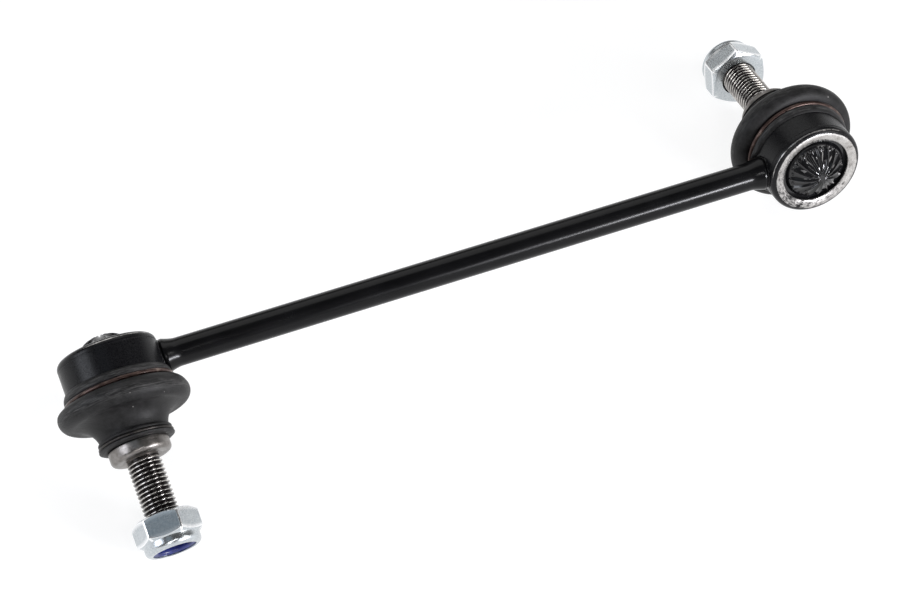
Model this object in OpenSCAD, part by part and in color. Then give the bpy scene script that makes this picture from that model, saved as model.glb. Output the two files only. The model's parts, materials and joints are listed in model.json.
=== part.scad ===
// Stabilizer link: a welded rod with a ball joint at each end.
// Each end is drawn about its own ball centre: z runs out along the stud,
// x points along the rod to the other end, and y is the upper side.
// Profiles are lists of [radius, height] points that are turned about the stud's axis.

/* [Link] */
// Distance between the two ball centres
link_l = 215; // [160:1:320]
// Angle by which each stud dips below the plane through the rod
stud_dip = 17.5; // [5:0.5:40]
// How far the link rolls over, about its two nuts, onto one boot when it lies on a table
rest_roll = 4.9; // [0.5:0.1:10]
// Sideways shift that brings the middle of the link's outline over the origin
rest_shift_x = 0.09; // [-3:0.01:3]
// Front-to-back shift that does the same
rest_shift_y = -1.38; // [-3:0.01:3]

/* [Rod] */
// Rod diameter
rod_d = 8.2; // [6:0.1:9]
// Diameter of the upset foot at each end of the rod
foot_d = 9.5; // [9.2:0.1:10]
// Length of the foot's straight part, out from the housing
foot_l = 1.2; // [0.6:0.1:3]
// Length over which the foot tapers down to the rod
foot_taper_l = 2.6; // [1:0.1:6]
// Thickness of the weld bead around the foot, at the housing
weld_t = 0.9; // [0.4:0.1:1]
// Length of the weld bead along the foot
weld_l = 1.1; // [0.6:0.1:1.2]

/* [Housing] */
// Outer diameter of the housing's barrel
housing_d = 28.8; // [28:0.1:30]
// Distance from the rod's axis to the rim at the closed end
rim_h = 6.7; // [6.5:0.1:7.6]
// Radius of the rolled-over edge of the rim
rim_round = 2; // [1:0.1:2.2]
// Diameter of the opening that the rim leaves around the dome
rim_opening_d = 21; // [20:0.1:22]
// Thickness of the rolled rim
rim_t = 1.8; // [1.2:0.1:2.2]
// Distance from the rod's axis to the step where the barrel ends and the neck begins
neck_h = 5; // [4.9:0.1:5.4]
// Depth of the step from the barrel down to the neck that the boot is clamped on
neck_step = 1.4; // [1:0.1:1.9]
// Distance from the rod's axis to the neck's end face
housing_top_h = 7; // [6.5:0.1:7.4]
// Diameter of the mouth at the neck's end face
mouth_d = 17; // [16.5:0.1:19]
// Diameter of the mouth's narrow end, inside the neck
mouth_in_d = 14.6; // [14.4:0.1:15.6]

/* [Bearing] */
// Diameter of the ball
ball_d = 16; // [15:0.1:16.4]
// Outer diameter of the bearing shell
shell_d = 22.6; // [22.2:0.1:23]
// Wall of the bearing shell behind the ball
shell_t = 1.35; // [1:0.05:1.5]
// Height of the bearing shell's open end above the ball centre
shell_top_h = 4.5; // [4.2:0.1:4.6]
// Radius of the dome on the closing cap
dome_r = 10.6; // [10.4:0.05:11]
// Thickness of the closing cap's flange
cap_flange_t = 1.4; // [1:0.1:1.6]

/* [Stud] */
// Thread diameter
thread_d = 10; // [8:0.5:10]
// Thread pitch
thread_pitch = 1.25; // [1:0.25:1.5]
// Width of a thread groove at the crest
thread_groove_w = 0.48; // [0.3:0.02:0.48]
// Radius taken off the leading threads, where the nut is started
thread_lead = 0.2; // [0.2:0.02:0.4]
// Diameter of the neck above the ball
stud_neck_d = 9; // [8:0.1:9.2]
// Distance from the ball centre to where the neck starts to widen
stud_neck_h = 11; // [10:0.5:12.5]
// Diameter of the seat for the boot's small end
boot_seat_d = 14.8; // [14:0.1:15.6]
// Distance from the ball centre to where that seat starts
boot_seat_h = 16; // [15:0.1:17]
// Diameter of the collar
collar_d = 17.6; // [16.8:0.1:20]
// Distance from the ball centre to the collar's boot side
collar_h = 22.1; // [22:0.1:23]
// Thickness of the collar
collar_t = 3.9; // [3:0.1:5]
// Radius on the collar's seat edge
collar_round = 1.4; // [0.5:0.1:1.8]
// Diameter of the undercut between the collar and the thread
undercut_d = 9.2; // [7.4:0.1:9.4]
// Length of the undercut
undercut_l = 1.3; // [1:0.1:2]
// Width of the bevel from the collar's seat down into the undercut
seat_relief = 0.6; // [0.3:0.1:1]
// Chamfer on the stud's end
end_chamfer = 1; // [0.5:0.1:1.5]
// Distance from the ball centre to the stud's end
stud_end_h = 50; // [49:0.5:50]

/* [Boot] */
// Wall of the boot's bead over the housing
bead_t = 1.2; // [1:0.05:1.6]
// Distance from the rod's axis to the middle of the bead's lower edge
bead_edge_h = 3; // [2.6:0.1:3.4]
// Slope of the bead's lower edge, which rises towards the rod
bead_slope = 1.5; // [0:0.5:4]
// Radius on the bead's lower edge
bead_round = 1.9; // [1.8:0.1:2.2]
// Height of the housing clamp ring
clamp_h = 6.1; // [6:0.1:6.3]
// Wire diameter of the housing clamp ring
clamp_wire_d = 1.2; // [1:0.1:1.4]
// How far the bellows' bulge stands out past the bead
bulge_out = 3.25; // [2.9:0.05:3.5]
// Radius of the bulge's outer curve
bulge_r = 3.3; // [3:0.1:3.5]
// Rise from the clamp ring's groove to the underside of the bulge
bulge_lift = 0.1; // [0.05:0.05:0.4]
// Wall of the bellows
boot_t = 1.8; // [1.4:0.1:2]
// Radius of the curve between bulge and small end
throat_r = 6; // [5.6:0.1:6.4]
// Diameter of the small end's lip
lip_d = 21.9; // [21.6:0.1:23]
// How far the lip stands out from the neck under it
lip_step = 1; // [0.8:0.1:1.2]
// Height of the lip's ridge under the clamp ring
lip_ridge_t = 0.9; // [0.6:0.1:1]
// Bevel on the lip's free end
lip_chamfer = 0.7; // [0.4:0.1:0.9]
// Height of the small end's clamp ring
lip_clamp_h = 20.6; // [20.5:0.1:20.8]
// Wire diameter of the small end's clamp ring
lip_wire_d = 0.9; // [0.7:0.1:1]

/* [Nut] */
// How far the left nut stands out past the stud's end
left_nut_out = 3.3; // [2.6:0.1:4.6]
// How far the right nut stands out past the stud's end
right_nut_out = 4.6; // [2.6:0.1:4.6]
// Width across the nut's flats
nut_af = 17; // [16:0.5:19]
// Height of the hexagon
nut_hex_t = 6.9; // [6:0.1:7.4]
// Overall height of the nut
nut_t = 10; // [9.8:0.1:11]
// Depth of the turned bevel at the middle of each flat
nut_bevel = 0.35; // [0.1:0.05:0.5]
// Depth of the countersink in the nut's bearing face
nut_countersink = 0.5; // [0.3:0.1:0.8]
// Outer diameter of the crimped collar that holds the insert
crimp_d = 16.2; // [15.6:0.1:16.8]
// Radius on the crimped collar's edge
crimp_round = 1.6; // [1:0.1:1.8]
// Diameter of the hole in the crimped collar
crimp_hole_d = 12.4; // [12:0.1:13]
// Thickness of the crimped collar over the insert
crimp_t = 0.5; // [0.3:0.1:0.6]
// Outer diameter of the nylon insert
insert_d = 13.6; // [13.2:0.1:14]
// Thickness of the nylon insert
insert_t = 2.3; // [1.8:0.1:2.4]
// Angle of a corner of the left nut, from the rod side up
left_nut_angle = 15.8; // [0:0.1:60]
// Angle of a corner of the right nut, from the rod side up
right_nut_angle = 28.2; // [0:0.1:60]

/* [Fits] */
// Gap between turned parts that move on each other
running_gap = 0.05; // [0.03:0.01:0.08]
// Gap between parts that are held together
seat_gap = 0.1; // [0.05:0.05:0.15]
// Gap around rubber that moves against metal
rubber_gap = 0.2; // [0.1:0.05:0.3]

/* [Hidden] */
$fn = 96;
// Steps along each rounded stretch of a profile
steps = 10;

rod_r = rod_d / 2;
foot_r = foot_d / 2;
barrel_r = housing_d / 2;
neck_r = barrel_r - neck_step;
bore_r = shell_d / 2 + seat_gap;
opening_r = rim_opening_d / 2;
mouth_r = mouth_d / 2;
// height of the inside of the rolled rim, and of the shoulder above the shell
rim_inside_h = -rim_h + rim_t;
shoulder_h = shell_top_h + seat_gap;
mouth_in_r = mouth_in_d / 2;

ball_r = ball_d / 2;
socket_r = ball_r + running_gap;
shell_r = shell_d / 2;
shell_back_r = socket_r + shell_t;
cap_inside_r = shell_back_r + seat_gap;
cap_top_h = rim_inside_h + seat_gap + cap_flange_t;
shell_step_h = cap_top_h + seat_gap;

thread_r = thread_d / 2;
thread_depth = thread_groove_w / 2 * tan(60);
stud_neck_r = stud_neck_d / 2;
boot_seat_r = boot_seat_d / 2;
collar_r = collar_d / 2;
seat_h = collar_h + collar_t;
undercut_r = undercut_d / 2;
thread_h = seat_h + undercut_l;
// height of each nut's bearing face; the last full thread ends just below the nearer one
left_nut_h = stud_end_h + left_nut_out - nut_t;
right_nut_h = stud_end_h + right_nut_out - nut_t;
thread_stop_h = min(left_nut_h, right_nut_h) - seat_gap;
lead_r = thread_r - thread_lead;

skirt_r = barrel_r + seat_gap;
bead_r = skirt_r + bead_t;
clamp_wire_r = clamp_wire_d / 2;
clamp_groove_r = clamp_wire_r + seat_gap;
// the wire sits half its thickness below the bead's outside
clamp_r = bead_r - clamp_wire_r;
bead_edge_low_h = bead_edge_h - bead_r * tan(bead_slope);

// the bulge rises from the clamp's groove, which its wall covers
groove_top_h = clamp_h + clamp_groove_r;
bulge_c = [bead_r + bulge_out - bulge_r, groove_top_h + bulge_lift + bulge_r];
bellows_in_r = neck_r + 2 * rubber_gap;
lip_r = lip_d / 2;
// the throat's curve is tangent to the bulge and narrows to the neck under the lip
throat_x = lip_r - lip_step + throat_r;
throat_c = [throat_x, bulge_c.y + sqrt((bulge_r + throat_r) ^ 2 - (throat_x - bulge_c.x) ^ 2)];
throat_angle = atan2(throat_c.y - bulge_c.y, throat_c.x - bulge_c.x);
boot_bore_r = boot_seat_r + seat_gap;
boot_end_h = collar_h - seat_gap;
lip_wire_r = lip_wire_d / 2;
lip_groove_r = lip_wire_r + seat_gap;
lip_clamp_r = lip_r - lip_wire_r - seat_gap;
lip_bottom_h = lip_clamp_h - lip_groove_r - lip_ridge_t;

nut_bore_r = thread_r + running_gap;
nut_corner_r = nut_af / 2 / cos(30);
// the hexagon's ends are turned off to a circle just inside the flats
nut_face_r = nut_af / 2 - nut_bevel;
nut_chamfer_t = (nut_corner_r - nut_face_r) * tan(30);
crimp_r = crimp_d / 2;
insert_r = insert_d / 2;
insert_h = nut_t - crimp_t - insert_t;

// The lowest corner of each nut, and one boot, carry the link on the table
left_low = lowest([for (a = [0:60:300]) left_point(nut_corner(left_nut_angle + a, left_nut_h))]);
right_low = lowest([for (a = [0:60:300]) right_point(nut_corner(right_nut_angle + a, right_nut_h))]);
rest_line = (right_low - left_low) / norm(right_low - left_low);
level_up = ([0, 0, 1] - rest_line * rest_line.z) / sqrt(1 - rest_line.z ^ 2);
// the table's upward direction, in the link's own axes
table_up = level_up * cos(rest_roll) + cross(level_up, rest_line) * sin(rest_roll);
rest_lift = -left_low * table_up;

// Points along an arc about c
function arc(c, r, from, to) =
    [for (i = [0:steps]) c + r * [cos(from + (to - from) * i / steps), sin(from + (to - from) * i / steps)]];
// A point of either end, in the link's own axes
function left_point(p) = [
    p.x - link_l / 2,
    -p.y * sin(stud_dip) - p.z * cos(stud_dip),
    p.y * cos(stud_dip) - p.z * sin(stud_dip)];
function right_point(p) = let (q = left_point(p)) [-q.x, -q.y, q.z];
function lowest(points) = [for (p = points) if (p.z == min([for (q = points) q.z])) p][0];
function nut_corner(angle, nut_h) =
    [nut_corner_r * cos(angle), nut_corner_r * sin(angle), nut_h + nut_hex_t - nut_chamfer_t];

// Lays the link on the table, with the origin under its middle
module laid() {
    translate([rest_shift_x, rest_shift_y, rest_lift])
        rotate(a = acos(table_up.z), v = cross(table_up, [0, 0, 1])) children();
}
module left_end() {
    laid() translate([-link_l / 2, 0, 0]) rotate([90 + stud_dip, 0, 0]) children();
}
module right_end() {
    laid() rotate([0, 0, 180]) translate([-link_l / 2, 0, 0]) rotate([90 + stud_dip, 0, 0]) children();
}

// Half of the rod, from the middle of the link to one ball centre, with its upset foot
module rod_half() {
    translate([-link_l / 2, 0, 0]) rotate([0, 90, 0]) {
        cylinder(r = rod_r, h = link_l / 2);
        cylinder(r = foot_r, h = barrel_r + foot_l);
        translate([0, 0, barrel_r + foot_l]) cylinder(r1 = foot_r, r2 = rod_r, h = foot_taper_l);
    }
}
// The round barrel of a housing, as the rod's foot meets it
module barrel_tool() {
    translate([-link_l / 2, 0, 0]) rotate([90 + stud_dip, 0, 0])
        cylinder(r = barrel_r, h = 4 * rim_h, center = true);
}
module rod() {
    color("#17181b") laid() difference() {
        union() {
            rod_half();
            rotate([0, 0, 180]) rod_half();
        }
        barrel_tool();
        rotate([0, 0, 180]) barrel_tool();
    }
}

// Turned cup with a rolled rim at the closed end and a neck for the boot at the open end
module housing() {
    rotate_extrude() polygon(concat(
        [[opening_r, -rim_h]],
        arc([barrel_r - rim_round, -rim_h + rim_round], rim_round, -90, 0),
        [[barrel_r, neck_h], [neck_r, neck_h], [neck_r, housing_top_h],
         [mouth_r, housing_top_h], [mouth_in_r, shoulder_h],
         [bore_r, shoulder_h], [bore_r, rim_inside_h], [opening_r, rim_inside_h]]));
}
// Bead of weld metal around the rod's foot
module weld_bead() {
    root_r = foot_r + weld_t;
    difference() {
        rotate([0, 90, 0]) {
            cylinder(r = root_r, h = barrel_r);
            translate([0, 0, barrel_r]) cylinder(r1 = root_r, r2 = foot_r + weld_t / 4, h = weld_l);
        }
        cylinder(r = barrel_r, h = 4 * rim_h, center = true);
        rotate([0, 90, 0]) cylinder(r = foot_r, h = 2 * barrel_r);
    }
}
// Domed plastic cap under the rolled rim
module closing_cap() {
    flange_r = bore_r - seat_gap;
    flange_h = rim_inside_h + seat_gap;
    rotate_extrude() polygon(concat(
        arc([0, 0], dome_r, -90, -acos(sqrt(dome_r ^ 2 - flange_h ^ 2) / dome_r)),
        [[flange_r, flange_h], [flange_r, cap_top_h]],
        arc([0, 0], cap_inside_r, asin(cap_top_h / cap_inside_r), -90)));
}
// Plastic shell that the ball turns in
module bearing_shell() {
    difference() {
        rotate_extrude() polygon(concat(
            arc([0, 0], shell_back_r, -90, asin(shell_step_h / shell_back_r)),
            [[shell_r, shell_step_h], [shell_r, shell_top_h], [0, shell_top_h]]));
        sphere(r = socket_r);
        cylinder(r = stud_neck_r, h = 2 * ball_r);
    }
}
// Forged stud: ball, waist, boot seat, collar and thread. The thread is drawn as separate rings.
module ball_stud() {
    turns = floor((thread_stop_h - thread_h) / thread_pitch);
    lead_turns = floor((stud_end_h - end_chamfer - thread_stop_h) / thread_pitch);
    sphere(r = ball_r);
    rotate_extrude() polygon(concat(
        [[0, 0], [stud_neck_r, 0], [stud_neck_r, stud_neck_h], [boot_seat_r, boot_seat_h],
         [boot_seat_r, collar_h], [collar_r, collar_h]],
        arc([collar_r - collar_round, seat_h - collar_round], collar_round, 0, 90),
        [[thread_r + seat_relief, seat_h], [undercut_r, seat_h - seat_relief], [undercut_r, thread_h]],
        [for (i = [0:turns - 1], p = thread_ring(thread_r, thread_h + i * thread_pitch)) p],
        [[thread_r, thread_h + turns * thread_pitch], [thread_r, thread_stop_h]],
        [for (i = [0:lead_turns - 1], p = thread_ring(lead_r, thread_stop_h + i * thread_pitch)) p],
        [[lead_r, stud_end_h - end_chamfer], [lead_r - end_chamfer, stud_end_h], [0, stud_end_h]]));
}
// One thread ring: the crest's land, then the groove after it
function thread_ring(r, h) = let (land = thread_pitch - thread_groove_w) [
    [r, h], [r, h + land], [r - thread_depth, h + land + thread_groove_w / 2]];

// Rubber bead stretched over the barrel and clamped on the neck, cut away under the rod's foot
module boot_bead() {
    bore = neck_r + seat_gap;
    edge_c = [bead_r - bead_round, bead_edge_low_h + bead_round];
    difference() {
        rotate_extrude() polygon(concat(
            arc(edge_c, bead_round, -acos((skirt_r - edge_c.x) / bead_round), 0),
            arc([clamp_r, clamp_h], clamp_groove_r, -acos((bead_r - clamp_r) / clamp_groove_r), -180),
            [[bore, clamp_h], [bore, neck_h + seat_gap], [skirt_r, neck_h + seat_gap]]));
        rotate([0, -bead_slope, 0]) translate([0, 0, bead_edge_h - 2 * rim_h])
            cylinder(r = 2 * bead_r, h = 2 * rim_h);
        rotate([0, 90, 0]) cylinder(r = foot_r + weld_t + seat_gap, h = 2 * bead_r);
    }
}
// Round wire ring
module wire_ring(r, h, wire_r) {
    rotate_extrude() translate([r, h]) circle(r = wire_r);
}
// Bellows from the housing clamp to the stud's boot seat
module boot() {
    floor_h = bulge_c.y - bulge_r + boot_t;
    top_in_h = boot_seat_h + boot_t;
    inner_r = throat_r + boot_t;
    rotate_extrude() polygon(concat(
        [[bellows_in_r, clamp_h + running_gap]],
        arc([clamp_r, clamp_h], clamp_groove_r, 180 - asin(running_gap / clamp_groove_r), 90),
        arc(bulge_c, bulge_r, -90, throat_angle),
        arc(throat_c, throat_r, throat_angle + 180, 180 + asin((throat_c.y - lip_bottom_h) / throat_r)),
        [[lip_r, lip_bottom_h], [lip_r, lip_clamp_h - lip_groove_r]],
        arc([lip_clamp_r, lip_clamp_h], lip_groove_r, -90, -270),
        [[lip_r - lip_chamfer / 2, lip_clamp_h + lip_groove_r], [lip_r - 2 * lip_chamfer, boot_end_h],
         [boot_bore_r, boot_end_h], [boot_bore_r, top_in_h]],
        arc(throat_c, inner_r, 180 + asin((throat_c.y - top_in_h) / inner_r), throat_angle + 180),
        arc(bulge_c, bulge_r - boot_t, throat_angle, -90),
        [[bellows_in_r, floor_h]]));
}
// Hexagon nut with a crimped collar over its insert
module lock_nut(angle) {
    difference() {
        union() {
            intersection() {
                rotate([0, 0, angle]) cylinder(r = nut_corner_r, h = nut_hex_t, $fn = 6);
                rotate_extrude() polygon([
                    [0, 0], [nut_face_r, 0], [nut_corner_r, nut_chamfer_t],
                    [nut_corner_r, nut_hex_t - nut_chamfer_t], [nut_face_r, nut_hex_t], [0, nut_hex_t]]);
            }
            rotate_extrude() polygon(concat(
                [[0, nut_hex_t / 2], [crimp_r, nut_hex_t / 2]],
                arc([crimp_r - crimp_round, nut_t - crimp_round], crimp_round, 0, 90),
                [[0, nut_t]]));
        }
        translate([0, 0, -nut_t / 2]) cylinder(r = nut_bore_r, h = nut_t * 2);
        translate([0, 0, insert_h - running_gap])
            cylinder(r = insert_r + running_gap, h = insert_t + 2 * running_gap);
        translate([0, 0, insert_h]) cylinder(d = crimp_hole_d, h = nut_t);
        translate([0, 0, -nut_countersink / 10])
            cylinder(r1 = nut_bore_r + nut_countersink, r2 = nut_bore_r, h = nut_countersink);
    }
}
// Nylon ring that grips the thread
module nut_insert() {
    translate([0, 0, insert_h]) difference() {
        cylinder(r = insert_r, h = insert_t);
        translate([0, 0, -insert_t / 2]) cylinder(r = nut_bore_r, h = 2 * insert_t);
    }
}

module left_housing() { color("#1b1c20") left_end() housing(); }
module left_weld_bead() { color("#2b2b2e") left_end() weld_bead(); }
module left_closing_cap() { color("#101114") left_end() closing_cap(); }
module left_bearing_shell() { color("#d9d6cc") left_end() bearing_shell(); }
module left_boot_bead() { color("#35353a") left_end() boot_bead(); }
module left_boot_clamp() { color("#4a2a24") left_end() wire_ring(clamp_r, clamp_h, clamp_wire_r); }
module left_boot() { color("#35353a") left_end() boot(); }
module left_lip_clamp() { color("#2e2c2c") left_end() wire_ring(lip_clamp_r, lip_clamp_h, lip_wire_r); }
module left_ball_stud() { color("#76706a") left_end() ball_stud(); }
module left_nut_insert() { color("#1a2060") left_end() translate([0, 0, left_nut_h]) nut_insert(); }
module left_lock_nut() {
    color("#c4cacd") left_end() translate([0, 0, left_nut_h]) lock_nut(left_nut_angle);
}
module right_housing() { color("#1b1c20") right_end() housing(); }
module right_weld_bead() { color("#2b2b2e") right_end() weld_bead(); }
module right_closing_cap() { color("#101114") right_end() closing_cap(); }
module right_bearing_shell() { color("#d9d6cc") right_end() bearing_shell(); }
module right_boot_bead() { color("#35353a") right_end() boot_bead(); }
module right_boot_clamp() { color("#4a2a24") right_end() wire_ring(clamp_r, clamp_h, clamp_wire_r); }
module right_boot() { color("#35353a") right_end() boot(); }
module right_lip_clamp() { color("#2e2c2c") right_end() wire_ring(lip_clamp_r, lip_clamp_h, lip_wire_r); }
module right_ball_stud() { color("#76706a") right_end() ball_stud(); }
module right_nut_insert() { color("#1a2060") right_end() translate([0, 0, right_nut_h]) nut_insert(); }
module right_lock_nut() {
    color("#c4cacd") right_end() translate([0, 0, right_nut_h]) lock_nut(right_nut_angle);
}

rod();
left_housing();
left_weld_bead();
left_closing_cap();
left_bearing_shell();
left_boot_bead();
left_boot_clamp();
left_boot();
left_lip_clamp();
left_ball_stud();
left_nut_insert();
left_lock_nut();
right_housing();
right_weld_bead();
right_closing_cap();
right_bearing_shell();
right_boot_bead();
right_boot_clamp();
right_boot();
right_lip_clamp();
right_ball_stud();
right_nut_insert();
right_lock_nut();
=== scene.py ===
import json
import math

import bpy
import numpy as np
from mathutils import Matrix, Vector


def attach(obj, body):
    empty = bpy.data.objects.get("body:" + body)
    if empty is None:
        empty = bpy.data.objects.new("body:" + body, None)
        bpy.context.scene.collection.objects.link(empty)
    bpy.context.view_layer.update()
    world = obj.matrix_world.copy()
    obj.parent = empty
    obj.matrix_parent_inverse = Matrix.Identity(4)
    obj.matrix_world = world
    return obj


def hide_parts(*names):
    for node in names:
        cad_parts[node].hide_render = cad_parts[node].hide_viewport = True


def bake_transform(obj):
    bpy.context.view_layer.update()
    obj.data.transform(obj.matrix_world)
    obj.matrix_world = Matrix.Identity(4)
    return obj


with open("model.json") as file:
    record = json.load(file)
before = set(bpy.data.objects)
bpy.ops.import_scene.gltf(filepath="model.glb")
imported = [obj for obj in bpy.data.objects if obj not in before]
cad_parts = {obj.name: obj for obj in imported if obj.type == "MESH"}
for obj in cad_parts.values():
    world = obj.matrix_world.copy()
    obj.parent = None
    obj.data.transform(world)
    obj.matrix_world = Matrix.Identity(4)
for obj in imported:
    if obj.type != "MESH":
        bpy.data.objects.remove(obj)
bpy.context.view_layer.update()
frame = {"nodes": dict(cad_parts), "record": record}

# Rod: a drawn round steel bar whose two ends are upset into a wider foot, with a black baked coat.
# Each foot is coped to the round barrel of its housing, so the bar's end surface is a saddle.
mm = 0.001
rod_r = 4.1
foot_r = 4.75
foot_swell = 0.2
foot_end = 5.2
foot_taper = 3.9
root_end = 0.95
root_taper = 0.8
root_depth = 0.95
saddle_sink = 0.15
saddle_fade = 1.3
barrel_r = 14.4
rod_points = 128
uv_per_mm = 0.01
joint = {j["name"]: j for j in frame["record"]["behaviour"]["joints"]}


def end_place(side):
    """Puts millimetres measured at one ball joint into the frame: x to the rod, z out along the stud."""
    out = Vector(joint[side + "_azimuth"]["axis"]).normalized()
    along = Vector(joint[side + "_tilt"]["axis"])
    along = (along - out * along.dot(out)).normalized()
    place = Matrix((along, out.cross(along), out)).transposed().to_4x4()
    place.translation = Vector(joint[side + "_azimuth"]["pos_m"])
    return place @ Matrix.Scale(mm, 4)


def skin(name, grid, place, closed=False):
    """Makes a mesh from rows of points that each run round the piece; closed joins the last to the first."""
    rows, count = grid.shape[:2]
    run = np.linalg.norm(np.diff(grid, axis=0), axis=2).mean(axis=1)
    length = np.r_[0.0, np.cumsum(run), 0.0]
    length[-1] = length[-2] + np.linalg.norm(grid[-1] - grid[0], axis=1).mean()
    faces = []
    uv_corners = []
    for i in range(rows if closed else rows - 1):
        n = (i + 1) % rows
        for j in range(count):
            k = (j + 1) % count
            faces.append((i * count + j, i * count + k, n * count + k, n * count + j))
            for step, edge in ((0, 0), (1, 0), (1, 1), (0, 1)):
                uv_corners.append(((j + step) / count, length[i + edge] * uv_per_mm))
    mesh = bpy.data.meshes.new(name)
    mesh.from_pydata([tuple(p) for p in grid.reshape(-1, 3)], [], faces)
    uv = mesh.uv_layers.new(name="around_along")
    uv.data.foreach_set("uv", np.array(uv_corners, np.float32).ravel())
    mesh.transform(place)
    piece = bpy.data.objects.new(name, mesh)
    bpy.context.collection.objects.link(piece)
    return piece


def coped(reach, across):
    """Distance from the ball centre to a ring of the foot, which follows the barrel near its root."""
    saddle = np.sqrt(barrel_r**2 - across**2) - saddle_sink
    return barrel_r + reach + (saddle - barrel_r) * math.exp(-reach / saddle_fade)


left_place = end_place("left")
right_place = end_place("right")
link_l = (right_place.translation - left_place.translation).length / mm
to_right = right_place.inverted() @ left_place

steps_out = np.r_[np.linspace(0, 2.2, 23), np.linspace(2.4, 6.4, 21), 8, 14, 24, 40, 60, 80]
swell = np.clip((foot_end - steps_out) / foot_taper, 0, 1)
foot = rod_r + (foot_r + foot_swell - rod_r) * (swell**2 * (1.6 - 0.6 * swell))
foot = foot - root_depth * np.clip((root_end - steps_out) / root_taper, 0, 1) ** 2.2
turn = np.linspace(0, 2 * math.pi, rod_points, endpoint=False)
rows = []
for reach, radius in zip(steps_out, foot):
    y = radius * np.cos(turn)
    rows.append(np.c_[coped(reach, y), y, radius * np.sin(turn)])
for reach, radius in zip(steps_out[::-1], foot[::-1]):
    y = radius * np.cos(turn)
    z = radius * np.sin(turn)
    far_y = to_right[1][1] * y + to_right[1][2] * z
    rows.append(np.c_[link_l - coped(reach, far_y), y, z])
rod = skin("rod_bar", np.array(rows)[::-1], left_place)


def add(tree, kind, **sockets):
    """Adds a shader node and sets its sockets by name, with _ for a space."""
    made = tree.nodes.new("ShaderNode" + kind)
    for key, value in sockets.items():
        name = key.replace("_", " ")
        if isinstance(value, bpy.types.NodeSocket):
            tree.links.new(value, made.inputs[name])
        else:
            made.inputs[name].default_value = value
    return made


def noise(tree, where, scale, **sockets):
    """Adds a noise of a given scale and returns its factor."""
    return add(tree, "TexNoise", Vector=where, Scale=scale, **sockets).outputs["Fac"]


def stretched(tree, where, scale):
    """Scales places by a different amount along each axis."""
    return add(tree, "Mapping", Vector=where, Scale=scale).outputs["Vector"]


def finish(name, **sockets):
    """Starts a finish: a Principled shader with its even values set on its own sockets."""
    coat = bpy.data.materials.new(name)
    coat.use_nodes = True
    shader = coat.node_tree.nodes["Principled BSDF"]
    for key, value in sockets.items():
        shader.inputs[key.replace("_", " ")].default_value = value
    spot = add(coat.node_tree, "TexCoord").outputs["Object"]
    return coat, coat.node_tree, shader, spot


def grade(tree, factor, *stops):
    """Turns a factor into colours: each stop is a position and a grey value or an RGB colour."""
    ramp = tree.nodes.new("ShaderNodeValToRGB")
    tree.links.new(factor, ramp.inputs["Fac"])
    while len(ramp.color_ramp.elements) < len(stops):
        ramp.color_ramp.elements.new(0.5)
    for element, (position, colour) in zip(ramp.color_ramp.elements, stops):
        element.position = position
        rgb = (colour,) * 3 if isinstance(colour, float) else colour
        element.color = (*rgb, 1.0)
    return ramp.outputs["Color"]


def feed(tree, shader, **sockets):
    """Links varying colours and factors to a shader's sockets, with _ for a space."""
    for key, value in sockets.items():
        tree.links.new(value, shader.inputs[key.replace("_", " ")])


def relief(tree, shader, height, strength, depth):
    """Adds fine relief of the given depth in metres to a shader."""
    bump = add(tree, "Bump", Height=height, Strength=strength, Distance=depth)
    tree.links.new(bump.outputs["Normal"], shader.inputs["Normal"])


black_coat, tree, shader, spot = finish("black_baked_coat", IOR=1.26)
cloud = noise(tree, spot, 140.0, Detail=4.0)
peel = noise(tree, spot, 1100.0, Detail=2.0)
streak = noise(tree, stretched(tree, spot, (30.0, 900.0, 900.0)), 1.0, Detail=3.0)
tint = grade(tree, cloud, (0.3, (0.0022, 0.0022, 0.0025)), (0.7, (0.0045, 0.0045, 0.005)))
gloss = grade(tree, streak, (0.3, 0.18), (0.75, 0.27))
feed(tree, shader, Base_Color=tint, Roughness=gloss)
relief(tree, shader, peel, 0.15, 0.00003)


def paint(piece, coats, sharp):
    """Gives a mesh its coats and smooth shading, with edges kept over the sharp angle in degrees."""
    for coat in coats:
        piece.data.materials.append(coat)
    piece.data.polygons.foreach_set("use_smooth", [True] * len(piece.data.polygons))
    piece.data.set_sharp_from_angle(angle=math.radians(sharp))


def dress(piece, body, slot, *coats, sharp=35.0, node):
    """Paints a finished mesh, sets it on a body and lets it stand for a node."""
    paint(piece, coats, sharp)
    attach(piece, body)
    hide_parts(node)


dress(rod, "link", "black_paint", black_coat, node="rod")

# Housings: turned steel cups that hold the bearings. The closed end's rim is rolled in over the cap,
# and its face is worn bare, while the barrel keeps its black coat with fine turning marks. The bare
# face is narrowed at one side as painted shade, and a worn band on the roll is also a painted highlight.
SIDES = ("left", "right")
rim_h = 6.7
rim_round = 2.0
neck_r = 13.0
bore_r = 11.4
housing_points = 192
bare_r = 13.3
bare_fade = 0.7
bare_h = -5.9
painted_shade_less_bare = 0.2
painted_shade_way = math.radians(-60)
edge_wear_and_highlight = 1.5
edge_slope = -34.0
edge_spread = 13.0
highlight_way = math.radians(60)
edge_reach = 0.45
roll_from = barrel_r - rim_round + 0.1


def arc(x, y, radius, start, end, count):
    """Points along an arc of an outline, from one angle to another in degrees."""
    angle = np.radians(np.linspace(start, end, count))
    return [(x + radius * math.cos(a), y + radius * math.sin(a)) for a in angle]


def turned(outline, count):
    """Turns an outline of (radius, height) points about the stud's axis."""
    angle = np.linspace(0, 2 * math.pi, count, endpoint=False)
    return np.array([np.c_[r * np.cos(angle), r * np.sin(angle), np.full(count, h)] for r, h in outline])


def mark(piece, name, values):
    """Stores a value at each point of a mesh, for its finish to read."""
    layer = piece.data.attributes.new(name, "FLOAT", "POINT")
    layer.data.foreach_set("value", np.asarray(values, np.float32).ravel())


def marked(tree, name):
    """Reads the values that mark stored."""
    stored = add(tree, "Attribute")
    stored.attribute_name = name
    return stored.outputs["Fac"]


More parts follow.
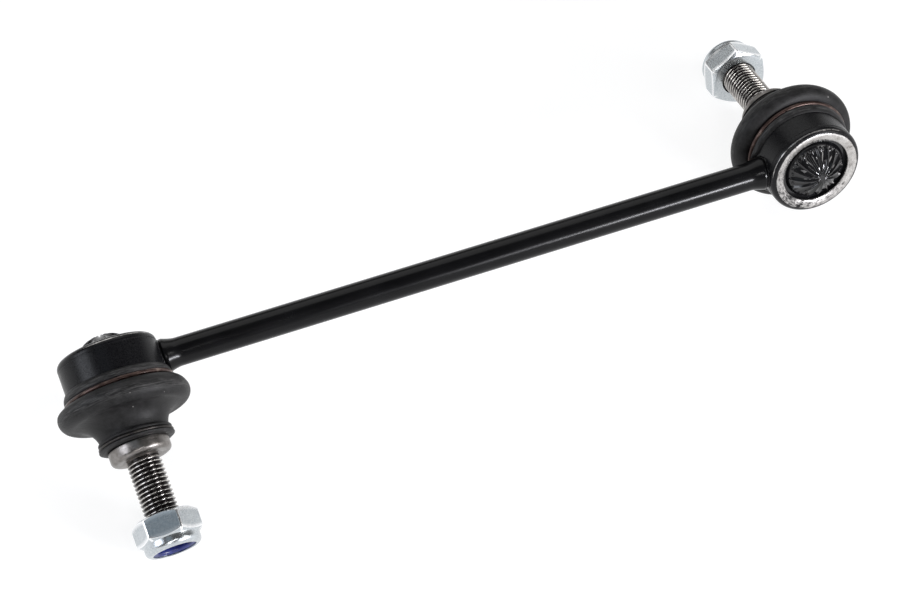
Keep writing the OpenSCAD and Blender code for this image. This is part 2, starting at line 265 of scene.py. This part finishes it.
def roughened(tree, base, factor, amount):
    """Adds an amount of a factor to a base value, which makes its edge ragged."""
    added = add(tree, "Math")
    added.operation = "MULTIPLY_ADD"
    tree.links.new(factor, added.inputs[0])
    added.inputs[1].default_value = amount
    tree.links.new(base, added.inputs[2])
    return added.outputs["Value"]


def laid_over(tree, factor, under, over):
    """Lays one colour over another where a factor says."""
    return add(tree, "MixRGB", Fac=factor, Color1=under, Color2=over).outputs["Color"]


rim_edge = [(10.42, -4.9), (10.42, -6.0), (10.5, -6.2), (10.75, -6.36)]
rim_face = [(11.4, -6.52), (12.0, -6.65), (12.3, -rim_h)]
rim_roll = arc(barrel_r - rim_round, rim_round - rim_h, rim_round, -90, 0, 18)
rim_line = [(14.4, -4.45), (14.3, -4.35), (14.28, -4.22), (14.3, -4.1), (14.4, -4.0)]
barrel = [(barrel_r, h) for h in np.linspace(-3.7, 4.8, 20)]
neck = [(14.32, 4.95), (14.2, 5.0), (13.1, 5.0), (neck_r, 5.1), (neck_r, 6.8), (12.8, 7.0)]
mouth = [(8.6, 7.0), (8.4, 6.8), (7.3, 4.6), (bore_r, 4.6), (bore_r, -4.9)]
grid = turned(rim_edge + rim_face + rim_roll + rim_line + barrel + neck + mouth, housing_points)

height = grid[..., 2]
radius = np.hypot(grid[..., 0], grid[..., 1])
around = np.arctan2(grid[..., 1], grid[..., 0])
bare_and_painted_light_marks = np.where(height < bare_h, np.clip((bare_r - radius) / bare_fade, -1, 0.5), -1)
# Painted shade: the bare face is narrowed towards one side, which is darker because of how light falls
# there.
bare_and_painted_light_marks = bare_and_painted_light_marks - painted_shade_less_bare * (0.5 + 0.5 * np.cos(around - painted_shade_way))
slope = np.degrees(np.arctan2(height + rim_h - rim_round, radius - barrel_r + rim_round))
on_roll = (radius > roll_from) & (height < rim_round - rim_h)
# Wear and painted highlight: a bare band along the roll, kept to its upper side where light catches it.
on_highlight_side = np.clip(np.cos(around - highlight_way) + edge_reach, 0, 1)
bare_and_painted_light_marks = bare_and_painted_light_marks + edge_wear_and_highlight * np.exp(-(((slope - edge_slope) / edge_spread) ** 2)) * on_highlight_side * on_roll

housing_coat, tree, shader, spot = finish("housing_coat_worn_and_painted_light_at_rim", IOR=1.28)
unrolled = add(tree, "UVMap").outputs["UV"]
lathe = noise(tree, stretched(tree, unrolled, (40.0, 700.0, 1.0)), 1.0, Detail=5.0)
blotch = noise(tree, spot, 420.0, Detail=6.0, Roughness=0.65)
fine = noise(tree, spot, 2200.0, Detail=4.0, Roughness=0.8)
ragged = roughened(tree, roughened(tree, marked(tree, "bare"), lathe, 0.6), blotch, 0.5)
bare = grade(tree, ragged, (0.8, 0.0), (0.95, 1.0))
coat_tint = grade(tree, lathe, (0.3, (0.0025, 0.0025, 0.003)), (0.7, (0.006, 0.006, 0.007)))
dull_steel = (0.27, (0.24, 0.22, 0.20))
worn_steel = (0.42, (0.43, 0.415, 0.40))
clean_steel = (0.6, (0.54, 0.525, 0.51))
steel_tint = grade(tree, blotch, dull_steel, worn_steel, clean_steel)
tint = laid_over(tree, bare, coat_tint, steel_tint)
gloss = grade(tree, fine, (0.35, 0.16), (0.65, 0.46))
feed(tree, shader, Base_Color=tint, Metallic=bare, Roughness=gloss)
relief(tree, shader, lathe, 0.3, 0.00004)
for side in SIDES:
    housing = skin(side + "_housing_cup", grid[::-1], end_place(side), closed=True)
    mark(housing, "bare", bare_and_painted_light_marks[::-1])
    dress(housing, "link", "black_paint", housing_coat, node=side + "_housing")

# Weld beads: rippled fillets of weld metal round each foot, laid after the foot is set on the barrel.
# They are coated with the rod, so only their lumps catch the light.
weld_r = 0.42
weld_inset = 0.3
weld_lift = 0.02
weld_points = 220
weld_section_points = 14
around = np.linspace(0, 2 * math.pi, weld_points, endpoint=False)
section = np.linspace(0, 2 * math.pi, weld_section_points, endpoint=False)
ripple = 0.03 * np.sin(23 * around + 0.7) + 0.06 * np.sin(9 * around + 2.1) + 0.05 * np.sin(4 * around)
rows = []
for angle, lump in zip(around, ripple):
    thick = weld_r + lump
    reach = foot_r - weld_inset + thick * np.cos(section)
    y = reach * math.cos(angle)
    base = np.sqrt(barrel_r**2 - y**2)
    rows.append(np.c_[base + weld_lift + thick * np.sin(section), y, reach * math.sin(angle)])
for side in SIDES:
    bead = skin(side + "_weld_fillet", np.array(rows), end_place(side), closed=True)
    dress(bead, "link", "black_paint", black_coat, sharp=60.0, node=side + "_weld_bead")

# Closing caps: moulded glossy black domes that close the housings under the rolled rims.
# Ribs run out from the middle of each dome with hollow flutes between them, and a pip stands
# between each two ribs near the edge.
dome_r = 10.6
dome_in_r = 9.5
dome_back = 0.1
dome_points = 384
dome_rows = 70
dome_edge = 62.5
rib_count = 16
rib_h = 0.36
rib_half_w = 0.3
rib_root_half_w = 0.12
rib_widen = 0.045
rib_start = 3
rib_grow = 9
rib_end = 55
rib_fade = 5
flute_depth = 0.06
pip_at = 50
pip_h = 0.45
pip_r = 0.45
around = np.linspace(0, 2 * math.pi, dome_points, endpoint=False)
spread = 2 * math.pi / rib_count
off_rib = np.abs((around + spread / 2) % spread - spread / 2)
off_pip = np.abs(around % spread - spread / 2)
rows = []
for degrees in np.r_[0.05, np.linspace(1, dome_edge, dome_rows)]:
    lean = math.radians(degrees)
    ring = dome_r * math.sin(lean)
    rise = np.clip((degrees - rib_start) / rib_grow, 0, 1) * np.clip((rib_end - degrees) / rib_fade, 0, 1)
    half_rib = min(rib_half_w, rib_root_half_w + rib_widen * ring)
    rib = rib_h * rise * np.exp(-((off_rib * ring / half_rib) ** 2))
    flute = flute_depth * ring * rise * (1 - (1 - off_rib / (spread / 2)) ** 2)
    pip_away = np.hypot(off_pip * ring, (lean - math.radians(pip_at)) * dome_r)
    pip = pip_h * np.exp(-((pip_away / pip_r) ** 2))
    size = dome_r - dome_back + rib + pip - flute
    out = size * math.sin(lean)
    rows.append(np.c_[out * np.cos(around), out * np.sin(around), -size * math.cos(lean)])
flange = [(9.5, -4.8), (10.2, -4.79), (11.3, -4.78), (11.3, -3.4), (8.87, -3.4)]
inside = arc(0, 0, dome_in_r, -21, -89.7, 14)
grid = np.concatenate([np.array(rows), turned(flange + inside, dome_points)])

cap_coat, tree, shader, spot = finish("gloss_black_cap", IOR=1.5)
flow = noise(tree, spot, 300.0, Detail=5.0)
dust = noise(tree, spot, 2600.0, Detail=2.0)
tint = grade(tree, flow, (0.35, (0.004, 0.004, 0.0045)), (0.7, (0.009, 0.009, 0.010)))
gloss = grade(tree, flow, (0.3, 0.05), (0.75, 0.12))
feed(tree, shader, Base_Color=tint, Roughness=gloss)
relief(tree, shader, dust, 0.15, 0.00003)
for side in SIDES:
    cap = skin(side + "_ribbed_cap", grid[::-1], end_place(side))
    dress(cap, "link", "cap_plastic", cap_coat, sharp=50.0, node=side + "_closing_cap")

# Bearing shells: off-white moulded liners round the balls, hidden inside the housings.
# They keep the CAD's shape and only get their own plastic.
shell_coat, tree, shader, spot = finish("bearing_plastic", IOR=1.5)
flow = noise(tree, spot, 260.0, Detail=4.0)
tint = grade(tree, flow, (0.3, (0.62, 0.60, 0.52)), (0.7, (0.72, 0.70, 0.62)))
gloss = grade(tree, flow, (0.3, 0.4), (0.7, 0.55))
feed(tree, shader, Base_Color=tint, Roughness=gloss)
for side in SIDES:
    liner = frame["nodes"][side + "_bearing_shell"]
    liner.data.materials.clear()
    liner.data.materials.append(shell_coat)

# Ball studs: forged steel with a ball, a waist, a seat for the boot, a bare collar and a rolled thread.
# The thread is dark with oil, its crests are bright steel, and its roots are painted dark as shade.
ball_r = 8.0
waist_r = 4.5
seat_r = 7.4
collar_r = 8.8
collar_round = 1.4
undercut_r = 4.6
thread_r = 5.0
thread_depth = 0.72
tooth_width = 1.18
tooth_slope = 2.7
thread_start = 26.3
thread_full = 26.9
pitch = 1.25
steps_per_turn = 14
lead_in = 1.0
tip_r = 3.9
tip_chamfer = 0.9
tip_edge = 49.9
stud_end = 50.0
stud_points = 120
ball = arc(0, 0, ball_r, -89.5, 55.8, 40)
waist = [(waist_r, h) for h in np.linspace(7.0, 10.6, 5)]
flare = [(4.62, 11.1), (4.9, 11.6), (7.1, 15.5), (7.34, 15.9)]
seat = [(seat_r, 16.3), (seat_r, 19.0), (seat_r, 21.9), (7.5, 22.08)]
collar = [(8.6, 22.1), (8.76, 22.2), (collar_r, 22.4), (collar_r, 23.0), (collar_r, 23.8)]
collar += arc(collar_r - collar_round, 24.6, collar_round, 0, 82, 9)
undercut = [(6.9, 26.0), (6.3, 26.0), (5.75, 25.95), (5.3, 25.7), (4.75, 25.45)]
undercut += [(undercut_r, 25.6), (undercut_r, 26.2)]
shank = turned(ball + waist + flare + seat + collar + undercut, stud_points)

around = np.linspace(0, 2 * math.pi, stud_points, endpoint=False)
heights = np.arange(thread_start, stud_end, pitch / steps_per_turn)
wave = (heights[:, None] / pitch - around[None, :] / (2 * math.pi)) % 1.0
tooth = np.clip(tooth_width - np.abs(wave - 0.5) * tooth_slope, 0.0, 1.0)
lead = np.clip((heights - thread_full) / lead_in, 0, 1)[:, None]
tail = np.clip((tip_edge - heights) / tip_chamfer, 0, 1)[:, None]
radius = thread_r - (thread_r - undercut_r) * (1 - lead) - thread_depth * lead * (1 - tooth)
radius = np.minimum(radius, tip_r + (thread_r - tip_r) * tail)
level = np.broadcast_to(heights[:, None], radius.shape)
thread = np.stack([radius * np.cos(around), radius * np.sin(around), level], 2)
tip = turned([(3.6, stud_end), (2.4, stud_end), (0.05, stud_end)], stud_points)
grid = np.concatenate([shank, thread, tip])
crest_marks = np.zeros(grid.shape[:2])
crest_marks[len(shank):len(shank) + len(heights)] = tooth


def multiplied(tree, first, second):
    """Multiplies two colours."""
    product = add(tree, "MixRGB", Fac=1.0, Color1=first, Color2=second)
    product.blend_type = "MULTIPLY"
    return product.outputs["Color"]


stud_steel, tree, shader, spot = finish("bare_forged_steel", Metallic=1.0)
unrolled = add(tree, "UVMap").outputs["UV"]
lathe = noise(tree, stretched(tree, unrolled, (7.0, 600.0, 1.0)), 1.0, Detail=4.0)
stain = noise(tree, spot, 520.0, Detail=6.0, Roughness=0.6)
dark_stain = (0.3, (0.14, 0.13, 0.12))
grey_stain = (0.5, (0.22, 0.205, 0.195))
pale_steel = (0.75, (0.30, 0.285, 0.275))
tint = grade(tree, stain, dark_stain, grey_stain, pale_steel)
gloss = grade(tree, lathe, (0.3, 0.26), (0.7, 0.42))
feed(tree, shader, Base_Color=tint, Roughness=gloss)
relief(tree, shader, stain, 0.25, 0.00006)

oiled_thread_painted_root_shade, tree, shader, spot = finish("oiled_thread_painted_root_shade")
oil = noise(tree, spot, 700.0, Detail=5.0)
crest = marked(tree, "crest")
# Painted shade: the thread's roots are made near black and its crests light, which darkens the recesses.
rubbed_and_painted_light = grade(tree, crest, (0.5, (0.016, 0.013, 0.012)), (0.95, (0.74, 0.71, 0.68)))
dirty = grade(tree, oil, (0.35, 0.5), (0.65, 1.0))
metal = grade(tree, crest, (0.2, 0.55), (0.8, 1.0))
gloss = grade(tree, oil, (0.3, 0.14), (0.7, 0.3))
feed(tree, shader, Base_Color=multiplied(tree, rubbed_and_painted_light, dirty), Metallic=metal, Roughness=gloss)
relief(tree, shader, oil, 0.2, 0.00004)
for side in SIDES:
    stud = skin(side + "_forged_stud", grid, end_place(side))
    mark(stud, "crest", crest_marks)
    dress(stud, side + "_stud", "stud_steel", stud_steel, oiled_thread_painted_root_shade, sharp=40.0, node=side + "_ball_stud")
    for index, face in enumerate(stud.data.polygons):
        face.material_index = int(index // stud_points >= len(shank) - 1)

# Boots: black rubber bellows with a bead that is stretched over the barrel, moulded in one piece.
# The bead's edge rides up over the rod's foot, so each boot sits a little askew on its housing.
boot_points = 176
boot_t = 1.8
clamp_r = 15.1
clamp_h = 6.1
groove_r = 0.7
skirt_r = 15.2
skirt_rows = 16
skirt_in_r = 14.5
skirt_t = 1.15
skirt_edge_h = 3.0
skirt_slope = math.tan(math.radians(1.5))
skirt_top_h = 5.52
skirt_tuck = 0.3
tuck_from = 0.7
foot_notch_r = 5.4
notch_smoothing = 6
bulge_r = 3.3
bulge_at = (15.65, 10.2)
throat_r = 6.0
throat_in_r = 9.95
lip_ring = (10.4, 20.6)
lip_groove_r = 0.55
askew_slope = 0.042
askew_eased = 0.45
askew_from = 6.3
askew_over = 2.4
eased_from = 14.0
eased_over = 6.0
skirt_scuff = 0.9
scuffed_rows = slice(4, 13)
bulge_scuff_h = 10.4
bulge_scuff_w = 1.4
bulge_scuff_r = 16.5
lip_scuff = 0.5
lip_scuff_h = 21.3
lip_scuff_w = 0.5

around = np.linspace(0, 2 * math.pi, boot_points, endpoint=False)
lower = skirt_edge_h + skirt_slope * skirt_r * np.cos(around)
notch = np.sqrt(np.clip(foot_notch_r**2 - (skirt_r * np.sin(around)) ** 2, 0, None))
lower = np.maximum(lower, notch * (np.cos(around) > 0))
for _ in range(notch_smoothing):
    lower = np.maximum(lower, (np.roll(lower, 1) + np.roll(lower, -1) + 2 * lower) / 4)
rows = []
for share in np.linspace(0, 1, skirt_rows):
    tuck = skirt_tuck * (max(share - tuck_from, 0) / (1 - tuck_from)) ** 2
    wide = skirt_in_r + skirt_t * (1 - (1 - share) ** 2.4) ** 0.8 - tuck
    level = lower + (skirt_top_h - lower) * share
    rows.append(np.c_[wide * np.cos(around), wide * np.sin(around), level])
groove = arc(clamp_r, clamp_h, groove_r, -40, -178, 10)
skirt_back = [(13.2, 6.05), (13.1, 5.9), (13.1, 5.2), (skirt_in_r, 5.1)]
skirt = np.concatenate([np.array(rows), turned(groove + skirt_back, boot_points)])
skirt_marks = np.zeros(skirt.shape[:2])
skirt_marks[scuffed_rows] = skirt_scuff

throat_x = throat_in_r + throat_r
throat_h = bulge_at[1] + math.sqrt((bulge_r + throat_r) ** 2 - (throat_x - bulge_at[0]) ** 2)
throat_turn = math.degrees(math.atan2(throat_h - bulge_at[1], throat_x - bulge_at[0]))
outline = arc(clamp_r, clamp_h, groove_r, 174, 96, 8)
outline += arc(*bulge_at, bulge_r, -88, throat_turn - 2, 44)
outline += arc(throat_x, throat_h, throat_r, throat_turn + 177, 184, 22)
outline += [(10.1, 19.06), (10.3, 19.12), (10.5, 19.2), (10.6, 19.34), (10.62, 19.5), (10.6, 19.9)]
outline += [(10.5, 20.04)]
outline += arc(*lip_ring, lip_groove_r, -85, -270, 10)
outline += [(10.7, 21.14), (10.88, 21.2), (10.94, 21.32), (10.85, 21.5), (10.2, 21.86), (9.8, 21.98)]
outline += [(7.7, 22.0), (7.5, 21.8), (7.5, 17.9)]
outline += arc(throat_x, throat_h, throat_r + boot_t, 192, throat_turn + 180, 12)
outline += arc(*bulge_at, bulge_r - boot_t, throat_turn - 6, -90, 14)
outline += [(13.5, 8.72), (13.4, 8.6), (13.4, 6.25)]
grid = turned(outline, boot_points)
level = grid[..., 2].copy()
askew = np.clip((level - askew_from) / askew_over, 0, 1)
askew = askew - askew_eased * np.clip((level - eased_from) / eased_over, 0, 1)
grid[..., 2] = level + askew_slope * grid[..., 0] * askew
out_r = np.hypot(grid[..., 0], grid[..., 1])
on_bulge = np.exp(-(((level - bulge_scuff_h) / bulge_scuff_w) ** 2)) * (out_r > bulge_scuff_r)
on_lip = lip_scuff * np.exp(-(((level - lip_scuff_h) / lip_scuff_w) ** 2))
bellows_marks = on_bulge + on_lip

rubber, tree, shader, spot = finish("matt_black_rubber", IOR=1.3, Sheen_Weight=0.015, Sheen_Roughness=0.5)
bloom = noise(tree, spot, 260.0, Detail=8.0, Roughness=0.72)
grain = noise(tree, spot, 1900.0, Detail=4.0, Roughness=0.6)
specks = add(tree, "TexVoronoi", Vector=spot, Scale=420.0)
speck = grade(tree, specks.outputs["Distance"], (0.05, 1.0), (0.09, 0.0))
picked = grade(tree, specks.outputs["Color"], (0.72, 0.0), (0.76, 1.0))
unrolled = add(tree, "UVMap").outputs["UV"]
wipe = noise(tree, stretched(tree, unrolled, (26.0, 260.0, 1.0)), 1.0, Detail=6.0, Roughness=0.75)
wiped = grade(tree, wipe, (0.45, 0.0), (0.75, 1.0))
chalky = multiplied(tree, wiped, marked(tree, "ridge"))
dusty = multiplied(tree, speck, picked)
tint = grade(tree, bloom, (0.41, (0.0028, 0.0027, 0.0028)), (0.61, (0.0145, 0.014, 0.0145)))
tint = laid_over(tree, chalky, tint, (0.10, 0.098, 0.096, 1.0))
tint = laid_over(tree, dusty, tint, (0.3, 0.29, 0.28, 1.0))
gloss = grade(tree, bloom, (0.3, 0.42), (0.7, 0.6))
feed(tree, shader, Base_Color=tint, Roughness=gloss)
relief(tree, shader, grain, 0.6, 0.0001)
for side in SIDES:
    place = end_place(side)
    bead = skin(side + "_boot_skirt", skirt, place, closed=True)
    mark(bead, "ridge", skirt_marks)
    dress(bead, "link", "boot_rubber", rubber, sharp=60.0, node=side + "_boot_bead")
    bellows = skin(side + "_boot_bellows", grid, place, closed=True)
    mark(bellows, "ridge", bellows_marks)
    paint(bellows, [rubber], 60.0)
    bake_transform(bellows)
    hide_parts(side + "_boot")

# Clamp rings: round spring wire that holds the boot. A brown one sits in the groove over the housing,
# and a thin dark one in the lip at the stud.
clamp_wire_r = 0.66
clamp_out = 0.25
clamp_lift = 0.02
clamp_points = 240
lip_wire_r = 0.45
lip_points = 200
wire_coat, tree, shader, spot = finish("brown_wire", Metallic=0.6)
patch = noise(tree, spot, 380.0, Detail=5.0)
dark_brown = (0.35, (0.032, 0.018, 0.015))
brown = (0.55, (0.062, 0.037, 0.031))
rubbed_brown = (0.72, (0.2, 0.15, 0.125))
tint = grade(tree, patch, dark_brown, brown, rubbed_brown)
gloss = grade(tree, patch, (0.3, 0.25), (0.7, 0.42))
feed(tree, shader, Base_Color=tint, Roughness=gloss)
relief(tree, shader, patch, 0.2, 0.00004)
lip_coat, tree, shader, spot = finish("dark_wire", Metallic=0.8)
patch = noise(tree, spot, 600.0, Detail=4.0)
tint = grade(tree, patch, (0.3, (0.02, 0.018, 0.018)), (0.7, (0.06, 0.055, 0.05)))
gloss = grade(tree, patch, (0.3, 0.35), (0.7, 0.5))
feed(tree, shader, Base_Color=tint, Roughness=gloss)
clamp_grid = turned(arc(clamp_r + clamp_out, clamp_h + clamp_lift, clamp_wire_r, 0, 342, 20), clamp_points)
lip_grid = turned(arc(*lip_ring, lip_wire_r, 0, 337.5, 16), lip_points)
lip_grid[..., 2] += askew_slope * (1 - askew_eased) * lip_grid[..., 0]
for side in SIDES:
    ring = skin(side + "_clamp_wire", clamp_grid, end_place(side), closed=True)
    dress(ring, "link", "clamp_wire", wire_coat, sharp=60.0, node=side + "_boot_clamp")
    ring = skin(side + "_lip_wire", lip_grid, end_place(side), closed=True)
    dress(ring, side + "_tilt", "lip_wire", lip_coat, sharp=60.0, node=side + "_lip_clamp")

# Lock nuts: zinc-plated hexagon nuts with both ends of the hexagon turned off to a cone.
# A thin collar is crimped in over a nylon ring at the outer end, and the edges are painted bright, as wear
# and as a painted highlight.
nut_flat = 8.5
nut_hex_t = 6.9
nut_corner_r = 0.7
corner_band = 0.02
foot_face_r = 8.12
foot_face_h = 0.05
head_face_r = 8.3
head_face_h = nut_hex_t - 0.05
foot_cone_r = 8.1
foot_cone_h = 0.08
head_cone_r = 8.15
head_cone_h = nut_hex_t - 0.06
cone = math.tan(math.radians(30))
half_face = math.pi / 6
corner_from = math.atan((nut_flat - nut_corner_r) / nut_flat * math.tan(half_face))
corner_shares = np.r_[0.91, 0.932, 0.946, 0.96, 0.976, 0.992]
shares = np.r_[-corner_shares[::-1], np.linspace(-0.9, 0.9, 17), corner_shares]
lean = np.tile(shares * half_face, 6)
face_turn = np.repeat(np.arange(6) * 2 * half_face, len(shares)) + lean + half_face
pivot = (nut_flat - nut_corner_r) / math.cos(half_face)
off_corner = half_face - np.abs(lean)
on_corner = np.abs(lean) > corner_from
bow = np.sqrt(np.clip(nut_corner_r**2 - (pivot * np.sin(off_corner)) ** 2, 0, None))
hex_r = np.where(on_corner, pivot * np.cos(off_corner) + bow, nut_flat / np.cos(lean))
foot_edge = (hex_r - foot_cone_r) * cone + foot_cone_h
head_edge = head_cone_h - (hex_r - head_cone_r) * cone
whole = np.ones(len(lean))
rows = [(5.55 * whole, 0 * whole), (7.9 * whole, 0 * whole), (foot_face_r * whole, foot_face_h * whole)]
first_cone_row = len(rows)
for ease in (0.7, 0.97):
    rows.append((foot_face_r + (hex_r - foot_face_r) * ease, foot_face_h + (foot_edge - foot_face_h) * ease))
for ease in (0.03, 0.2, 0.5, 0.8, 0.97):
    rows.append((hex_r, foot_edge + (head_edge - foot_edge) * ease))
for ease in (0.97, 0.7, 0.0):
    rows.append((head_face_r + (hex_r - head_face_r) * ease, head_face_h + (head_edge - head_face_h) * ease))
hex_rows = len(rows)
crimp = [(8.2, 6.93), (8.13, 7.05), (8.1, 7.3), (8.1, 7.8), (8.1, 8.3)]
crimp += arc(6.5, 8.4, 1.6, 4, 84, 12)
crimp += [(6.5, 10.0), (6.3, 9.98), (6.2, 9.85), (6.2, 9.56), (6.85, 9.54), (6.85, 7.16), (5.05, 7.15)]
crimp += [(5.05, 4.0), (5.05, 0.5), (5.2, 0.32)]
rows += [(r * whole, h * whole) for r, h in crimp]
foot_edge_rows = [4, 5]
head_edge_rows = [9, 10]
# The hexagon's corners and the cone edges are marked, as wear and as a painted highlight along the edges.
nut_edge_wear_and_highlight = np.zeros((len(rows), len(lean)))
nut_edge_wear_and_highlight[first_cone_row:hex_rows] = on_corner
nut_edge_wear_and_highlight[foot_edge_rows + head_edge_rows] = 1.0

zinc, tree, shader, spot = finish("zinc_plate", Metallic=1.0)
crystal = noise(tree, spot, 2300.0, Detail=3.0, Roughness=0.7)
haze = noise(tree, spot, 240.0, Detail=4.0)
tint = grade(tree, crystal, (0.36, (0.45, 0.49, 0.52)), (0.6, (0.60, 0.63, 0.645)))
# Wear and painted highlight: the marked edges are laid over with near-white metal.
tint = laid_over(tree, marked(tree, "rubbed_and_painted_light"), tint, (0.92, 0.93, 0.94, 1.0))
gloss = grade(tree, haze, (0.3, 0.18), (0.7, 0.3))
feed(tree, shader, Base_Color=tint, Roughness=gloss)
relief(tree, shader, crystal, 0.4, 0.00004)
nut_seat = {}
for side in SIDES:
    place = end_place(side)
    to_end = place.inverted()
    points = np.array([to_end @ v.co for v in frame["nodes"][side + "_lock_nut"].data.vertices])
    wide = np.hypot(points[:, 0], points[:, 1])
    far = points[wide > wide.max() - corner_band]
    far_turn = np.arctan2(far[:, 1], far[:, 0])
    corner = (np.angle(np.mean(np.exp(6j * far_turn))) / 6) % (2 * half_face)
    nut_seat[side] = points[:, 2].min()
    around = face_turn + corner
    grid = np.array([np.c_[r * np.cos(around), r * np.sin(around), h] for r, h in rows])
    grid[..., 2] += nut_seat[side]
    nut = skin(side + "_hex_nut", grid, place, closed=True)
    mark(nut, "rubbed_and_painted_light", nut_edge_wear_and_highlight)
    dress(nut, side + "_nut", "nut_zinc", zinc, sharp=22.0, node=side + "_lock_nut")

# Nut inserts: blue nylon rings that grip the thread, held in the nuts by the crimped collars.
# Their inner edge is worn to a soft lip by the thread.
insert_points = 96
insert_round = 0.25


def eased(points, radius, count=4):
    """Rounds the corners of a closed outline."""
    points = np.array(points)
    out = []
    for before, corner, after in zip(np.roll(points, 1, 0), points, np.roll(points, -1, 0)):
        back = before - corner
        ahead = after - corner
        near = min(radius, 0.4 * np.linalg.norm(back), 0.4 * np.linalg.norm(ahead))
        start = corner + back / np.linalg.norm(back) * near
        end = corner + ahead / np.linalg.norm(ahead) * near
        for t in np.linspace(0, 1, count):
            out.append((1 - t) ** 2 * start + 2 * t * (1 - t) * corner + t**2 * end)
    return [tuple(p) for p in out]


nylon, tree, shader, spot = finish("blue_nylon", IOR=1.53)
flow = noise(tree, spot, 500.0, Detail=4.0)
tint = grade(tree, flow, (0.3, (0.009, 0.014, 0.10)), (0.7, (0.022, 0.036, 0.20)))
gloss = grade(tree, flow, (0.3, 0.28), (0.7, 0.45))
feed(tree, shader, Base_Color=tint, Roughness=gloss)
relief(tree, shader, flow, 0.2, 0.00005)
ring_outline = eased([(5.05, 7.2), (6.8, 7.2), (6.8, 9.5), (5.5, 9.5), (5.05, 9.0)], insert_round)
for side in SIDES:
    grid = turned(ring_outline, insert_points)
    grid[..., 2] += nut_seat[side]
    insert = skin(side + "_nylon_ring", grid, end_place(side), closed=True)
    dress(insert, side + "_insert", "insert_nylon", nylon, node=side + "_nut_insert")

# Stage: a pale table that stays white in the picture and in the metal, and keeps a faint shadow.
# Soft lamps stand round it: large ones at the left and behind, tall panels in front, a low strip
# that draws the line along the rod, and a small one that puts glints on the caps.
table_half = 3.0
table_corners = [(-table_half, -table_half, 0), (table_half, -table_half, 0)]
table_corners += [(table_half, table_half, 0), (-table_half, table_half, 0)]
table_mesh = bpy.data.meshes.new("table")
table_mesh.from_pydata(table_corners, [], [(0, 1, 2, 3)])
table = bpy.data.objects.new("table", table_mesh)
bpy.context.collection.objects.link(table)


def larger(tree, first, second):
    """Gives the larger of two factors."""
    made = add(tree, "Math")
    made.operation = "MAXIMUM"
    tree.links.new(first, made.inputs[0])
    tree.links.new(second, made.inputs[1])
    return made.outputs["Value"]


table_white = bpy.data.materials.new("table_white")
table_white.use_nodes = True
tree = table_white.node_tree
tree.nodes.clear()
paper = add(tree, "BsdfDiffuse", Color=(0.8, 0.8, 0.8, 1.0))
shade = add(tree, "BsdfDiffuse", Color=(0.3, 0.3, 0.3, 1.0))
glow = add(tree, "Emission", Color=(1.0, 1.0, 1.0, 1.0), Strength=0.79)
white = add(tree, "AddShader")
tree.links.new(shade.outputs["BSDF"], white.inputs[0])
tree.links.new(glow.outputs["Emission"], white.inputs[1])
path = add(tree, "LightPath").outputs
seen = larger(tree, path["Is Camera Ray"], path["Is Glossy Ray"])
seen = larger(tree, seen, path["Is Transmission Ray"])
choice = add(tree, "MixShader")
tree.links.new(seen, choice.inputs[0])
tree.links.new(paper.outputs["BSDF"], choice.inputs[1])
tree.links.new(white.outputs["Shader"], choice.inputs[2])
add(tree, "OutputMaterial", Surface=choice.outputs["Shader"])
table.data.materials.append(table_white)

world = bpy.data.worlds.new("studio")
bpy.context.scene.world = world
world.use_nodes = True
tree = world.node_tree
look = add(tree, "TexCoord").outputs["Generated"]
height = add(tree, "SeparateXYZ", Vector=look).outputs["Z"]
sky = grade(tree, height, (0.0, 1.0), (0.06, 0.8), (0.25, 0.12), (1.0, 0.06))
tree.links.new(sky, tree.nodes["Background"].inputs["Color"])


def lamp(name, towards, distance, size, watts, colour):
    """Hangs a soft lamp in one direction from the link and turns it to face the link."""
    data = bpy.data.lights.new(name, "AREA")
    data.shape = "RECTANGLE"
    data.size = size[0]
    data.size_y = size[1]
    data.energy = watts
    data.color = colour
    hung = bpy.data.objects.new(name, data)
    bpy.context.collection.objects.link(hung)
    hung.location = Vector(towards).normalized() * distance
    hung.rotation_euler = Vector(towards).to_track_quat("Z", "Y").to_euler()


lamp("left_softbox", (-0.88, 0.09, 0.47), 0.7, (0.5, 0.31), 2.1, (0.88, 0.92, 1.0))
lamp("front_strip", (0.40, -0.63, 0.235), 0.782, (0.26, 0.06), 6.6, (0.95, 0.95, 1.0))
lamp("right_panel", (0.72, -0.42, 0.5), 0.8, (0.12, 0.5), 1.3, (1.0, 0.99, 0.97))
lamp("near_panel", (-0.35, -0.74, 0.5), 0.8, (0.12, 0.5), 1.0, (1.0, 1.0, 1.0))
lamp("top_spot", (-0.05, -0.62, 0.78), 0.8, (0.07, 0.07), 0.45, (1.0, 1.0, 1.0))
lamp("sky_panel", (-0.38, -0.14, 0.9), 0.8, (0.3, 0.3), 0.1, (0.7, 0.86, 1.0))
lamp("back_softbox", (0.1, 0.62, 0.78), 0.8, (0.85, 0.65), 2.4, (1.0, 1.0, 1.0))

camera = bpy.data.objects.new("camera", bpy.data.cameras.new("camera"))
bpy.context.collection.objects.link(camera)
camera.location = (-0.24334, -0.56192, 0.80465)
camera.rotation_euler = (0.65332, -0.00469, -0.39479)
camera.data.lens = 138.95
camera.data.sensor_width = 36.0
bpy.context.scene.camera = camera
bpy.context.scene.view_settings.view_transform = "Standard"
